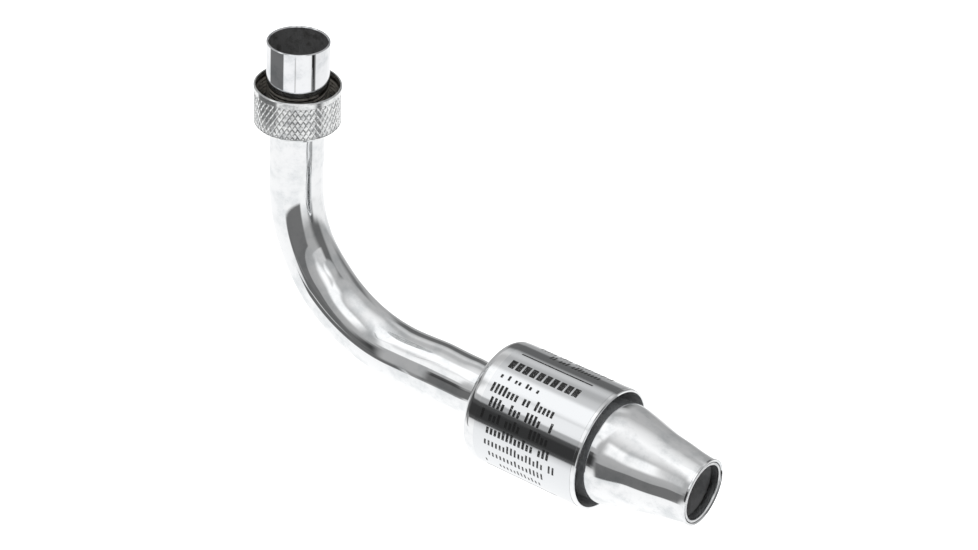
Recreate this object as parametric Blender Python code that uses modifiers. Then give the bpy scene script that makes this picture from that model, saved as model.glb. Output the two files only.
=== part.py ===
"""Bent mixing tube of an aerated (bunsen) gas burner, with union nut, air shield and inlet cone.

The frame's origin is on the upright leg's axis, in the top face of the seat gasket.
+Z runs up the burner spigot and +X runs along the lower leg towards the inlet cone. Sizes are in metres.
"""

import math

import bpy

MM = 0.001
FIT_GAP = 0.3 * MM
ROUND_SIDES = 40
TUBE_BEVEL_RESOLUTION = 14
MERGE_DISTANCE = 0.00001

# Mixing tube: 7/8 inch tube with one right-angle bend.
TUBE_RADIUS = 11.11 * MM
TUBE_WALL = 1.2 * MM
BEND_RADIUS = 59.0 * MM
BEND_STEPS = 10
BEND_TOP_Z = -37.4 * MM
LOWER_AXIS_Z = BEND_TOP_Z - BEND_RADIUS
COLLAR_BORE_RADIUS = TUBE_RADIUS + FIT_GAP

# Burner spigot: 1 inch thin-walled pipe, slipped over the tube's upper end.
SPIGOT_RADIUS = 12.7 * MM
SPIGOT_TOP_Z = 28.4 * MM
SPIGOT_LAP = 15.0 * MM

# Seat under the burner: gasket on a flange, with a slip washer below it.
GASKET_THICKNESS = 1.5 * MM
GASKET_RADIUS = 15.7 * MM
FLANGE_THICKNESS = 2.3 * MM
FLANGE_RADIUS = 15.9 * MM
SLIP_WASHER_THICKNESS = 1.0 * MM
SLIP_WASHER_RADIUS = 15.6 * MM
FLANGE_TOP_Z = -GASKET_THICKNESS - FIT_GAP
FLANGE_BOTTOM_Z = FLANGE_TOP_Z - FLANGE_THICKNESS
SLIP_WASHER_TOP_Z = FLANGE_BOTTOM_Z - FIT_GAP
SLIP_WASHER_BOTTOM_Z = SLIP_WASHER_TOP_Z - SLIP_WASHER_THICKNESS

# Union nut: knurled cap nut, open at the top, threaded inside.
NUT_RADIUS = 17.7 * MM
NUT_HEIGHT = 17.9 * MM
NUT_FLOOR = 3.0 * MM
NUT_HOLE_RADIUS = 11.5 * MM
NUT_THREAD_RADIUS = 16.2 * MM
NUT_MOUTH_RADIUS = 16.9 * MM
NUT_MOUTH_DEPTH = 2.3 * MM
NUT_TOP_CHAMFER = 0.4 * MM
NUT_BOTTOM_CHAMFER = 1.4 * MM
NUT_HOLE_CHAMFER = 0.7 * MM
NUT_FLOOR_TOP_Z = SLIP_WASHER_BOTTOM_Z - FIT_GAP
NUT_BOTTOM_Z = NUT_FLOOR_TOP_Z - NUT_FLOOR
NUT_TOP_Z = NUT_BOTTOM_Z + NUT_HEIGHT

# Air shield: a barrel with a closed rear end. Its sizes run forward from the barrel's rear plane.
SHIELD_REAR_X = 104.7 * MM
SHIELD_LENGTH = 54.8 * MM
SHIELD_RADIUS = 25.4 * MM
SHIELD_WALL = 1.0 * MM
SHIELD_CORNER = 4.0 * MM
SHIELD_LIP_RADIUS = 20.0 * MM
MOUTH_EDGE_ROUND = 0.3 * MM
CAP_WALL = 1.0 * MM
CAP_SKIRT_FRONT = 9.0 * MM

# Ferrule that ties the shield's cap to the tube, with its rivets.
FERRULE_FLANGE_RADIUS = 18.0 * MM
FERRULE_FLANGE_THICKNESS = 1.5 * MM
FERRULE_COLLAR_RADIUS = 13.2 * MM
FERRULE_LENGTH = 10.0 * MM
RIVET_COUNT = 3
CAP_RIVET_PITCH_RADIUS = 15.4 * MM
RIVET_SHANK_RADIUS = 1.0 * MM
RIVET_HEAD_RADIUS = 1.8 * MM
RIVET_CROWN_RADIUS = 1.1 * MM
RIVET_HEAD_HEIGHT = 0.8 * MM
RIVET_SIDES = 12
DRILL_DEPTH = 8.0 * MM

# Instruction label, wrapped round the barrel.
LABEL_GAP = 0.1 * MM
LABEL_THICKNESS = 0.2 * MM
LABEL_REAR = 6.8 * MM
LABEL_FRONT = 53.1 * MM
LABEL_STEPS = 22
LABEL_FIRST_STEP = 14

# Tube mouth ring, port cage and screen, inside the shield.
TUBE_END = 25.3 * MM
MOUTH_RING_REAR = 16.8 * MM
MOUTH_RING_RADIUS = 14.1 * MM
BELL_RADIUS = 3.0 * MM
CAGE_REAR = 21.3 * MM
CAGE_FRONT = 45.8 * MM
CAGE_RADIUS = 19.8 * MM
CAGE_WALL = 1.0 * MM
PORT_COUNT = 6
PORT_REAR = 24.8 * MM
PORT_FRONT = 33.8 * MM
PORT_WIDTH = 13.0 * MM
PUNCH_DEPTH = 6.0 * MM
SCREEN_THICKNESS = 0.4 * MM
BAND_THICKNESS = 0.6 * MM
BAND_WIDTH = 2.0 * MM
SCREEN_REAR = 23.3 * MM

# Inlet cone: a spun cone with a cylindrical skirt inside the barrel's mouth.
CONE_WALL = 0.9 * MM
SKIRT_RADIUS = 21.0 * MM
SKIRT_REAR = 36.3 * MM
SHOULDER_START = SHIELD_LENGTH + 3.8 * MM
TAPER_START = SHIELD_LENGTH + 8.0 * MM
TAPER_END = SHIELD_LENGTH + 41.0 * MM
CONE_TIP = SHIELD_LENGTH + 43.55 * MM
TAPER_START_RADIUS = 20.5 * MM
TAPER_END_RADIUS = 13.8 * MM
TAPER_START_SLOPE = -0.24
TAPER_END_SLOPE = -0.12
TAPER_STEPS = 7
TIP_RIM_RADIUS = 14.05 * MM
TIP_RIM_LENGTH = 0.9 * MM
CONE_RIVET_STATION = 41.3 * MM

# Liner ring just inside the cone's tip.
LINER_INNER_RADIUS = 11.5 * MM
LINER_LENGTH = 3.8 * MM
LINER_SETBACK = 0.35 * MM

CHROME = ((0.80, 0.81, 0.82), 0.06, 1.0)
POLISHED_STEEL = ((0.70, 0.71, 0.72), 0.12, 1.0)
SATIN_STEEL = ((0.55, 0.56, 0.57), 0.30, 1.0)
WIRE_STEEL = ((0.42, 0.43, 0.44), 0.40, 1.0)
GRAPHITE_FIBRE = ((0.05, 0.05, 0.05), 0.80, 0.0)
BRASS = ((0.66, 0.50, 0.26), 0.30, 1.0)
CLEAR_FOIL = ((0.86, 0.87, 0.88), 0.15, 0.6)


def clear_scene():
    """Remove every object, so that the script starts empty."""
    for old in list(bpy.data.objects):
        bpy.data.objects.remove(old, do_unlink=True)


def make_collection(name):
    """Add a collection to the scene."""
    collection = bpy.data.collections.new(name)
    bpy.context.scene.collection.children.link(collection)
    return collection


def make_material(name, finish):
    """Make a plain Principled material from a colour, a roughness and a metallic value."""
    colour, roughness, metallic = finish
    material = bpy.data.materials.new(name)
    material.use_nodes = True
    shader = material.node_tree.nodes["Principled BSDF"]
    shader.inputs["Base Color"].default_value = (*colour, 1.0)
    shader.inputs["Roughness"].default_value = roughness
    shader.inputs["Metallic"].default_value = metallic
    return material


def make_empty(name, collection, location, rotation=(0.0, 0.0, 0.0)):
    """Add an empty that carries the pieces of one axis."""
    empty = bpy.data.objects.new(name, None)
    empty.location = location
    empty.rotation_euler = rotation
    empty.empty_display_size = 0.02
    collection.objects.link(empty)
    return empty


def add_piece(name, data, collection, parent, finish):
    """Link one named piece under its empty, with a material of its own."""
    piece = bpy.data.objects.new(name, data)
    piece.parent = parent
    data.materials.append(make_material(name, finish))
    collection.objects.link(piece)
    return piece


def add_screw(piece, steps, angle=math.tau):
    """Turn a piece's profile about its own Z axis."""
    screw = piece.modifiers.new("Turn", "SCREW")
    screw.angle = angle
    screw.steps = steps
    screw.render_steps = steps
    screw.use_merge_vertices = True
    screw.merge_threshold = MERGE_DISTANCE
    screw.use_smooth_shade = True


def turned(name, outline, collection, parent, finish, sides=ROUND_SIDES):
    """Make a ring-shaped piece from a closed outline of (radius, height) points.

    The outline runs down the outer side first, so that the faces point out.
    """
    mesh = bpy.data.meshes.new(name)
    points = [(radius, 0.0, height) for radius, height in outline]
    edges = [(i, (i + 1) % len(points)) for i in range(len(points))]
    mesh.from_pydata(points, edges, [])
    piece = add_piece(name, mesh, collection, parent, finish)
    add_screw(piece, sides)
    return piece


def ring_outline(inner, outer, bottom, top):
    """Give the outline of a plain ring."""
    return [(outer, top), (outer, bottom), (inner, bottom), (inner, top)]


def arc(centre, radius, start_degrees, end_degrees, steps):
    """Give the points of an arc in a turned outline, both ends included."""
    points = []
    for i in range(steps + 1):
        angle = math.radians(start_degrees + (end_degrees - start_degrees) * i / steps)
        points.append((centre[0] + radius * math.cos(angle), centre[1] + radius * math.sin(angle)))
    return points


def add_cut(piece, cutter, name):
    """Cut one piece with a cutter."""
    boolean = piece.modifiers.new(name, "BOOLEAN")
    boolean.operation = "DIFFERENCE"
    boolean.solver = "EXACT"
    boolean.object = cutter


def make_drill(name, collection, parent, location, rotation):
    """Make the round cutter for one rivet hole, under the same empty as the pieces it cuts."""
    bpy.ops.mesh.primitive_cylinder_add(
        vertices=RIVET_SIDES, radius=RIVET_SHANK_RADIUS + FIT_GAP, depth=DRILL_DEPTH
    )
    return place_cutter(bpy.context.object, name, collection, parent, location, rotation)


def make_punch(name, collection, parent, size, location, rotation):
    """Make the box cutter for one air port, under the same empty as the cage."""
    bpy.ops.mesh.primitive_cube_add(size=1.0)
    cutter = bpy.context.object
    for vertex in cutter.data.vertices:
        vertex.co = (vertex.co.x * size[0], vertex.co.y * size[1], vertex.co.z * size[2])
    return place_cutter(cutter, name, collection, parent, location, rotation)


def place_cutter(cutter, name, collection, parent, location, rotation):
    """Name a cutter, hide it and move it to its collection."""
    cutter.name = name
    cutter.parent = parent
    cutter.location = location
    cutter.rotation_euler = rotation
    cutter.hide_render = True
    cutter.display_type = "WIRE"
    for owner in list(cutter.users_collection):
        owner.objects.unlink(cutter)
    collection.objects.link(cutter)
    return cutter


def rivet_outline(grip):
    """Give the outline of a solid two-headed rivet, centred on its grip, from its top to its bottom."""
    half = grip / 2 + FIT_GAP
    top = half + RIVET_HEAD_HEIGHT
    return [
        (0.0, top),
        (RIVET_CROWN_RADIUS, top),
        (RIVET_HEAD_RADIUS, half),
        (RIVET_SHANK_RADIUS, half),
        (RIVET_SHANK_RADIUS, -half),
        (RIVET_HEAD_RADIUS, -half),
        (RIVET_CROWN_RADIUS, -top),
        (0.0, -top),
    ]


def make_rivet(name, grip, collection, parent, location, rotation):
    """Make one rivet; its outline is open because both ends lie on its axis."""
    mesh = bpy.data.meshes.new(name)
    outline = rivet_outline(grip)
    points = [(radius, 0.0, height) for radius, height in outline]
    mesh.from_pydata(points, [(i, i + 1) for i in range(len(points) - 1)], [])
    rivet = add_piece(name, mesh, collection, parent, POLISHED_STEEL)
    rivet.location = location
    rivet.rotation_euler = rotation
    add_screw(rivet, RIVET_SIDES)


def make_mixing_tube(collection, parent):
    """Make the bent tube: a round section along its centre line, with its wall turned inwards."""
    centre_line = [(0.0, 0.0, SPIGOT_LAP)]
    for i in range(BEND_STEPS + 1):
        angle = math.radians(90.0) * i / BEND_STEPS
        x = BEND_RADIUS * (1.0 - math.cos(angle))
        z = BEND_TOP_Z - BEND_RADIUS * math.sin(angle)
        centre_line.append((x, 0.0, z))
    centre_line.append((SHIELD_REAR_X + TUBE_END, 0.0, LOWER_AXIS_Z))
    curve = bpy.data.curves.new("mixing_tube", "CURVE")
    curve.dimensions = "3D"
    curve.bevel_depth = TUBE_RADIUS
    curve.bevel_resolution = TUBE_BEVEL_RESOLUTION
    spline = curve.splines.new("POLY")
    spline.points.add(len(centre_line) - 1)
    spline.use_smooth = True
    for point, place in zip(spline.points, centre_line):
        point.co = (*place, 1.0)
    tube = add_piece("mixing_tube", curve, collection, parent, CHROME)
    wall = tube.modifiers.new("Wall", "SOLIDIFY")
    wall.thickness = TUBE_WALL
    wall.offset = -1.0


def make_spigot_and_seat(collection, parent):
    """Make the spigot, with the flange and the gasket that the burner sits on."""
    spigot = ring_outline(COLLAR_BORE_RADIUS, SPIGOT_RADIUS, -GASKET_THICKNESS, SPIGOT_TOP_Z)
    turned("burner_spigot", spigot, collection, parent, CHROME)
    flange = ring_outline(COLLAR_BORE_RADIUS, FLANGE_RADIUS, FLANGE_BOTTOM_Z, FLANGE_TOP_Z)
    turned("seat_flange", flange, collection, parent, SATIN_STEEL)
    gasket = ring_outline(SPIGOT_RADIUS + FIT_GAP, GASKET_RADIUS, -GASKET_THICKNESS, 0.0)
    turned("seat_gasket", gasket, collection, parent, GRAPHITE_FIBRE)


def make_union(collection, parent):
    """Make the slip washer and the union nut, which slide down the upright leg together."""
    washer = ring_outline(
        NUT_HOLE_RADIUS, SLIP_WASHER_RADIUS, SLIP_WASHER_BOTTOM_Z, SLIP_WASHER_TOP_Z
    )
    turned("slip_washer", washer, collection, parent, BRASS)
    nut = [
        (NUT_RADIUS - NUT_TOP_CHAMFER, NUT_TOP_Z),
        (NUT_RADIUS, NUT_TOP_Z - NUT_TOP_CHAMFER),
        (NUT_RADIUS, NUT_BOTTOM_Z + NUT_BOTTOM_CHAMFER),
        (NUT_RADIUS - NUT_BOTTOM_CHAMFER, NUT_BOTTOM_Z),
        (NUT_HOLE_RADIUS + NUT_HOLE_CHAMFER, NUT_BOTTOM_Z),
        (NUT_HOLE_RADIUS, NUT_BOTTOM_Z + NUT_HOLE_CHAMFER),
        (NUT_HOLE_RADIUS, NUT_FLOOR_TOP_Z),
        (NUT_THREAD_RADIUS, NUT_FLOOR_TOP_Z),
        (NUT_THREAD_RADIUS, NUT_TOP_Z - NUT_MOUTH_DEPTH),
        (NUT_MOUTH_RADIUS, NUT_TOP_Z - NUT_MOUTH_DEPTH + NUT_MOUTH_RADIUS - NUT_THREAD_RADIUS),
        (NUT_MOUTH_RADIUS, NUT_TOP_Z),
    ]
    turned("union_nut", nut, collection, parent, CHROME)


def make_shield(collection, cutters, parent):
    """Make the barrel, its pressed cap, and the ferrule and rivets that hold the cap on the tube."""
    inner = SHIELD_RADIUS - SHIELD_WALL
    bend_centre = (SHIELD_RADIUS - SHIELD_CORNER, SHIELD_CORNER)
    barrel = [
        (SHIELD_RADIUS - MOUTH_EDGE_ROUND, SHIELD_LENGTH),
        (SHIELD_RADIUS, SHIELD_LENGTH - MOUTH_EDGE_ROUND),
        *arc(bend_centre, SHIELD_CORNER, 0.0, -90.0, 6),
        (SHIELD_LIP_RADIUS, 0.0),
        (SHIELD_LIP_RADIUS, SHIELD_WALL),
        *arc(bend_centre, SHIELD_CORNER - SHIELD_WALL, -90.0, 0.0, 5),
        (inner, SHIELD_LENGTH),
    ]
    turned("shield_sleeve", barrel, collection, parent, CHROME)

    cap_corner = SHIELD_CORNER - SHIELD_WALL - FIT_GAP
    cap_rear = SHIELD_WALL + FIT_GAP
    cap_front = cap_rear + CAP_WALL
    cap_outline = [
        (inner - FIT_GAP, CAP_SKIRT_FRONT),
        *arc(bend_centre, cap_corner, 0.0, -90.0, 4),
        (COLLAR_BORE_RADIUS, cap_rear),
        (COLLAR_BORE_RADIUS, cap_front),
        *arc(bend_centre, cap_corner - CAP_WALL, -90.0, 0.0, 4),
        (inner - FIT_GAP - CAP_WALL, CAP_SKIRT_FRONT),
    ]
    cap = turned("shield_cap", cap_outline, collection, parent, POLISHED_STEEL)

    flange_rear = cap_front + FIT_GAP
    flange_front = flange_rear + FERRULE_FLANGE_THICKNESS
    ferrule_outline = [
        (FERRULE_COLLAR_RADIUS, flange_rear + FERRULE_LENGTH),
        (FERRULE_COLLAR_RADIUS, flange_front),
        (FERRULE_FLANGE_RADIUS, flange_front),
        (FERRULE_FLANGE_RADIUS, flange_rear),
        (COLLAR_BORE_RADIUS, flange_rear),
        (COLLAR_BORE_RADIUS, flange_rear + FERRULE_LENGTH),
    ]
    ferrule = turned("cap_ferrule", ferrule_outline, collection, parent, SATIN_STEEL)

    grip_middle = (cap_rear + flange_front) / 2
    for i in range(RIVET_COUNT):
        angle = math.tau * (i + 0.5) / RIVET_COUNT
        place = (
            CAP_RIVET_PITCH_RADIUS * math.cos(angle),
            CAP_RIVET_PITCH_RADIUS * math.sin(angle),
            grip_middle,
        )
        drill = make_drill(f"cap_rivet_drill_{i + 1}", cutters, parent, place, (0.0, 0.0, 0.0))
        add_cut(cap, drill, f"Rivet hole {i + 1}")
        add_cut(ferrule, drill, f"Rivet hole {i + 1}")
        make_rivet(
            f"cap_rivet_{i + 1}", flange_front - cap_rear, collection, parent, place, (0.0, 0.0, 0.0)
        )


def make_label(collection, parent):
    """Make the thin label that is wrapped round the part of the barrel which faces the user."""
    step = math.tau / ROUND_SIDES
    start = step * LABEL_FIRST_STEP
    radius = SHIELD_RADIUS + LABEL_GAP
    across = (radius * math.cos(start), radius * math.sin(start))
    mesh = bpy.data.meshes.new("instruction_label")
    mesh.from_pydata([(*across, LABEL_FRONT), (*across, LABEL_REAR)], [(0, 1)], [])
    label = add_piece("instruction_label", mesh, collection, parent, CLEAR_FOIL)
    add_screw(label, LABEL_STEPS, step * LABEL_STEPS)
    foil = label.modifiers.new("Foil", "SOLIDIFY")
    foil.thickness = LABEL_THICKNESS
    foil.offset = 1.0


def taper_radius(station):
    """Give the cone's outer radius between the shoulder and the tip, as a cubic curve."""
    length = TAPER_END - TAPER_START
    t = (station - TAPER_START) / length
    return (
        (2.0 * t**3 - 3.0 * t**2 + 1.0) * TAPER_START_RADIUS
        + (t**3 - 2.0 * t**2 + t) * length * TAPER_START_SLOPE
        + (3.0 * t**2 - 2.0 * t**3) * TAPER_END_RADIUS
        + (t**3 - t**2) * length * TAPER_END_SLOPE
    )


def cone_outer_side():
    """Give the cone's outer side from the tip back to the skirt's rear edge."""
    rim_rear = CONE_TIP - TIP_RIM_LENGTH
    side = [
        (TIP_RIM_RADIUS - 0.2 * MM, CONE_TIP),
        (TIP_RIM_RADIUS, CONE_TIP - 0.25 * MM),
        (TIP_RIM_RADIUS, rim_rear + 0.2 * MM),
        (TAPER_END_RADIUS - 0.1 * MM, rim_rear),
    ]
    for i in range(TAPER_STEPS + 1):
        station = TAPER_END + (TAPER_START - TAPER_END) * i / TAPER_STEPS
        side.append((taper_radius(station), station))
    side.append((SKIRT_RADIUS - 0.12 * MM, (SHOULDER_START + TAPER_START) / 2))
    side.append((SKIRT_RADIUS, SHOULDER_START))
    side.append((SKIRT_RADIUS, SKIRT_REAR))
    return side


def make_cone(collection, parent):
    """Make the inlet cone and the liner ring inside its tip."""
    outer_side = cone_outer_side()
    bore = TAPER_END_RADIUS - CONE_WALL
    inner_side = [(bore, CONE_TIP), (bore, TAPER_END)]
    for radius, station in outer_side:
        if station < TAPER_END:
            inner_side.append((radius - CONE_WALL, station))
    cone_outline = outer_side + list(reversed(inner_side))
    cone = turned("inlet_cone", cone_outline, collection, parent, CHROME)
    liner_front = CONE_TIP - LINER_SETBACK
    liner = ring_outline(LINER_INNER_RADIUS, bore - FIT_GAP, liner_front - LINER_LENGTH, liner_front)
    turned("socket_liner", liner, collection, parent, POLISHED_STEEL)
    return cone


def make_air_inlet(collection, cutters, parent, cone):
    """Make the tube's mouth ring, the ported cage and its rivets, and the screen with its two bands."""
    lip_rear = TUBE_END + FIT_GAP
    bore = TUBE_RADIUS - TUBE_WALL
    bell_centre = (bore + BELL_RADIUS, lip_rear)
    mouth_ring = [
        (MOUTH_RING_RADIUS, lip_rear + BELL_RADIUS),
        (MOUTH_RING_RADIUS, MOUTH_RING_REAR),
        (COLLAR_BORE_RADIUS, MOUTH_RING_REAR),
        (COLLAR_BORE_RADIUS, lip_rear),
        *arc(bell_centre, BELL_RADIUS, 180.0, 90.0, 5),
    ]
    turned("tube_mouth_ring", mouth_ring, collection, parent, BRASS)

    inner = CAGE_RADIUS - CAGE_WALL
    cage_outline = [
        (CAGE_RADIUS, CAGE_FRONT),
        (CAGE_RADIUS, CAGE_REAR),
        (MOUTH_RING_RADIUS + FIT_GAP, CAGE_REAR),
        (MOUTH_RING_RADIUS + FIT_GAP, CAGE_REAR + CAGE_WALL),
        (inner, CAGE_REAR + CAGE_WALL),
        (inner, CAGE_FRONT),
    ]
    cage = turned("air_port_cage", cage_outline, collection, parent, SATIN_STEEL)
    for i in range(PORT_COUNT):
        angle = math.tau * i / PORT_COUNT
        size = (PUNCH_DEPTH, PORT_WIDTH, PORT_FRONT - PORT_REAR)
        place = (
            CAGE_RADIUS * math.cos(angle),
            CAGE_RADIUS * math.sin(angle),
            (PORT_FRONT + PORT_REAR) / 2,
        )
        punch = make_punch(
            f"port_punch_{i + 1}", cutters, parent, size, place, (0.0, 0.0, angle)
        )
        add_cut(cage, punch, f"Air port {i + 1}")

    screen_inner = CAGE_RADIUS + FIT_GAP
    screen_outer = screen_inner + SCREEN_THICKNESS
    screen_front = SKIRT_REAR - FIT_GAP
    screen = ring_outline(screen_inner, screen_outer, SCREEN_REAR, screen_front)
    turned("insect_screen", screen, collection, parent, WIRE_STEEL)
    band_inner = screen_outer + FIT_GAP
    for name, rear in (
        ("screen_band_rear", SCREEN_REAR),
        ("screen_band_front", screen_front - BAND_WIDTH),
    ):
        band = ring_outline(band_inner, band_inner + BAND_THICKNESS, rear, rear + BAND_WIDTH)
        turned(name, band, collection, parent, POLISHED_STEEL)

    grip_middle = (SKIRT_RADIUS + inner) / 2
    for i in range(RIVET_COUNT):
        angle = math.tau * (i + 0.5) / RIVET_COUNT
        place = (
            grip_middle * math.cos(angle),
            grip_middle * math.sin(angle),
            CONE_RIVET_STATION,
        )
        turn = (0.0, math.pi / 2, angle)
        drill = make_drill(f"cone_rivet_drill_{i + 1}", cutters, parent, place, turn)
        add_cut(cone, drill, f"Rivet hole {i + 1}")
        add_cut(cage, drill, f"Rivet hole {i + 1}")
        make_rivet(f"cone_rivet_{i + 1}", SKIRT_RADIUS - inner, collection, parent, place, turn)


def main():
    """Build the whole assembly."""
    clear_scene()
    parts = make_collection("mixing_tube_assembly")
    cutters = make_collection("cutters")
    seat = make_empty("seat_axis", parts, (0.0, 0.0, 0.0))
    union = make_empty("union_axis", parts, (0.0, 0.0, 0.0))
    inlet = make_empty(
        "inlet_axis", parts, (SHIELD_REAR_X, 0.0, LOWER_AXIS_Z), (0.0, math.pi / 2, 0.0)
    )
    make_mixing_tube(parts, seat)
    make_spigot_and_seat(parts, seat)
    make_union(parts, union)
    make_shield(parts, cutters, inlet)
    make_label(parts, inlet)
    cone = make_cone(parts, inlet)
    make_air_inlet(parts, cutters, inlet, cone)


main()
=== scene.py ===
"""Looks of the bent mixing tube of an aerated gas burner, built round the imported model.

Every size in a class is in millimetres and is turned to metres where a mesh is made.
"""

import logging
import math
from collections.abc import Callable, Iterator
from contextlib import contextmanager
from dataclasses import dataclass
from enum import Enum
from functools import partial

import bmesh
import bpy
from mathutils import Euler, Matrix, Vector, noise


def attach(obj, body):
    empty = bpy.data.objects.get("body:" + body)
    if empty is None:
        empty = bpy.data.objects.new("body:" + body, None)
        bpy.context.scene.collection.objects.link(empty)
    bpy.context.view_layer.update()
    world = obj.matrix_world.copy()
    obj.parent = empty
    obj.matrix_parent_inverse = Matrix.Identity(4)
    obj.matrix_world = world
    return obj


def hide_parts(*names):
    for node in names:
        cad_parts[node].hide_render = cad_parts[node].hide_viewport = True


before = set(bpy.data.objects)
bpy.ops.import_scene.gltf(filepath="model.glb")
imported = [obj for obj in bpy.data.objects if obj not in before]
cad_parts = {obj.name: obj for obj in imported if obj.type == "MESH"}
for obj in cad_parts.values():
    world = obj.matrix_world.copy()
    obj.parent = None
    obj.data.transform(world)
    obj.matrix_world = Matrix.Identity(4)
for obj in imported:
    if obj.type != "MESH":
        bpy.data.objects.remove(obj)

logging.basicConfig(level=logging.INFO, format="%(message)s")
log = logging.getLogger("mixing_tube")

MM = 0.001
ROUND_SIDES = 128
MERGE_DISTANCE = 0.001 * MM
SHARP_ANGLE = 50.0  # degrees past which a bevel softens an edge
TUBE_FIT = 11.41  # millimetres: the bore of every piece that is fitted over the tube
Outline = list[tuple[float, float]]
Socket = bpy.types.NodeSocket

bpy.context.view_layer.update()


class Body(Enum):
    """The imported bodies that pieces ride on."""

    TUBE = "tube_assembly"
    WASHER = "washer"
    NUT = "nut"


class Ends(Enum):
    """What closes the two ends of a turned outline."""

    JOINED = "joined"
    FILLED = "filled"
    OPEN = "open"


class Grain(Enum):
    """The direction in which polishing lines run, as the axis that they repeat along."""

    ALONG_X = (1.0, 0.04, 0.04)
    ALONG_Z = (0.04, 0.04, 1.0)
    EVEN = (1.0, 1.0, 1.0)


# ---------------------------------------------------------------- modelling steps


def deselect() -> None:
    """Deselect every object, since an operator acts on all that is selected."""
    for item in bpy.context.selected_objects:
        item.select_set(False)


@contextmanager
def editing(piece: bpy.types.Object) -> Iterator[None]:
    """Hold a piece in edit mode with nothing selected.

    Args:
        piece: The mesh object to edit.

    Returns:
        A context in which edit-mode operators act on the piece.
    """
    deselect()
    piece.select_set(True)
    bpy.context.view_layer.objects.active = piece
    bpy.ops.object.mode_set(mode="EDIT")
    bpy.ops.mesh.select_mode(type="VERT")
    bpy.ops.mesh.select_all(action="DESELECT")
    yield
    bpy.ops.object.mode_set(mode="OBJECT")


def pick_vertices(piece: bpy.types.Object, test: Callable[[Vector], bool]) -> None:
    """Select the vertices whose place passes a test, in edit mode.

    Args:
        piece: The mesh object in edit mode.
        test: Says whether a vertex at this place, in metres, is selected.
    """
    mesh = bmesh.from_edit_mesh(piece.data)
    for vertex in mesh.verts:
        vertex.select = test(vertex.co)
    mesh.select_flush_mode()
    bmesh.update_edit_mesh(piece.data)


def pick_faces(piece: bpy.types.Object, test: Callable[[Vector, Vector], bool]) -> None:
    """Select the faces whose centre and normal pass a test, in edit mode.

    Args:
        piece: The mesh object in edit mode.
        test: Says whether a face with this centre, in metres, and normal is selected.
    """
    bpy.ops.mesh.select_mode(type="FACE")
    mesh = bmesh.from_edit_mesh(piece.data)
    for face in mesh.faces:
        face.select = test(face.calc_center_median(), face.normal)
    mesh.select_flush_mode()
    bmesh.update_edit_mesh(piece.data)


def apply_modifier(piece: bpy.types.Object, kind: str, **settings: object) -> None:
    """Add a modifier to a piece and apply it.

    Args:
        piece: The mesh object.
        kind: The modifier's type.
        **settings: The modifier's settings by name.
    """
    deselect()
    piece.select_set(True)
    bpy.context.view_layer.objects.active = piece
    modifier = piece.modifiers.new(kind.title(), kind)
    for name, value in settings.items():
        setattr(modifier, name, value)
    bpy.ops.object.modifier_apply(modifier=modifier.name)


def soften_edges(piece: bpy.types.Object, width: float, segments: int = 2) -> None:
    """Bevel a piece's sharp edges by a width in millimetres.

    Args:
        piece: The mesh object.
        width: The width of the bevel.
        segments: How many steps it has.
    """
    apply_modifier(
        piece, "BEVEL", width=width * MM, segments=segments, limit_method="ANGLE",
        angle_limit=math.radians(SHARP_ANGLE),
    )


def settle(
    piece: bpy.types.Object,
    place: tuple[float, float, float] = (0.0, 0.0, 0.0),
    turn: tuple[float, float, float] = (0.0, 0.0, 0.0),
    smooth_angle: float = 35.0,
) -> bpy.types.Object:
    """Put a piece in its place, keep that place in its mesh, and smooth it.

    Args:
        piece: The mesh object, modelled about the origin.
        place: Where its origin goes, in millimetres.
        turn: Its turn about X, Y and Z, in degrees.
        smooth_angle: The angle in degrees below which edges are shaded smooth.

    Returns:
        The same object.
    """
    deselect()
    piece.select_set(True)
    bpy.context.view_layer.objects.active = piece
    piece.location = Vector(place) * MM
    piece.rotation_euler = Euler([math.radians(angle) for angle in turn])
    bpy.ops.object.transform_apply(location=True, rotation=True, scale=True)
    bpy.ops.object.shade_smooth_by_angle(angle=math.radians(smooth_angle))
    return piece


def arc(
    centre: tuple[float, float], radius: float, start: float, end: float, steps: int
) -> Outline:
    """Give the points of an arc in a turned outline.

    Args:
        centre: Its centre as (radius, height).
        radius: Its own radius.
        start: The first point's angle in degrees.
        end: The last point's angle in degrees.
        steps: The number of steps between them.

    Returns:
        The points, both ends included.
    """
    angles = [math.radians(start + (end - start) * i / steps) for i in range(steps + 1)]
    return [(centre[0] + radius * math.cos(a), centre[1] + radius * math.sin(a)) for a in angles]


def extrude_ring(move: tuple[float, float, float], scale: float = 1.0) -> None:
    """Extrude the selected ring by a move in millimetres, then scale it about the Z axis.

    Args:
        move: How far the new ring is from the old one.
        scale: The new ring's size against the old one's.
    """
    bpy.ops.mesh.extrude_region_move(
        TRANSFORM_OT_translate={"value": tuple(value * MM for value in move)}
    )
    if scale != 1.0:
        bpy.ops.transform.resize(value=(scale, scale, 1.0), center_override=(0.0, 0.0, 0.0))


def close_up() -> None:
    """Merge what meets in the piece in edit mode, and turn its faces outwards."""
    bpy.ops.mesh.select_all(action="SELECT")
    bpy.ops.mesh.remove_doubles(threshold=MERGE_DISTANCE)
    bpy.ops.mesh.normals_make_consistent(inside=False)


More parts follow.
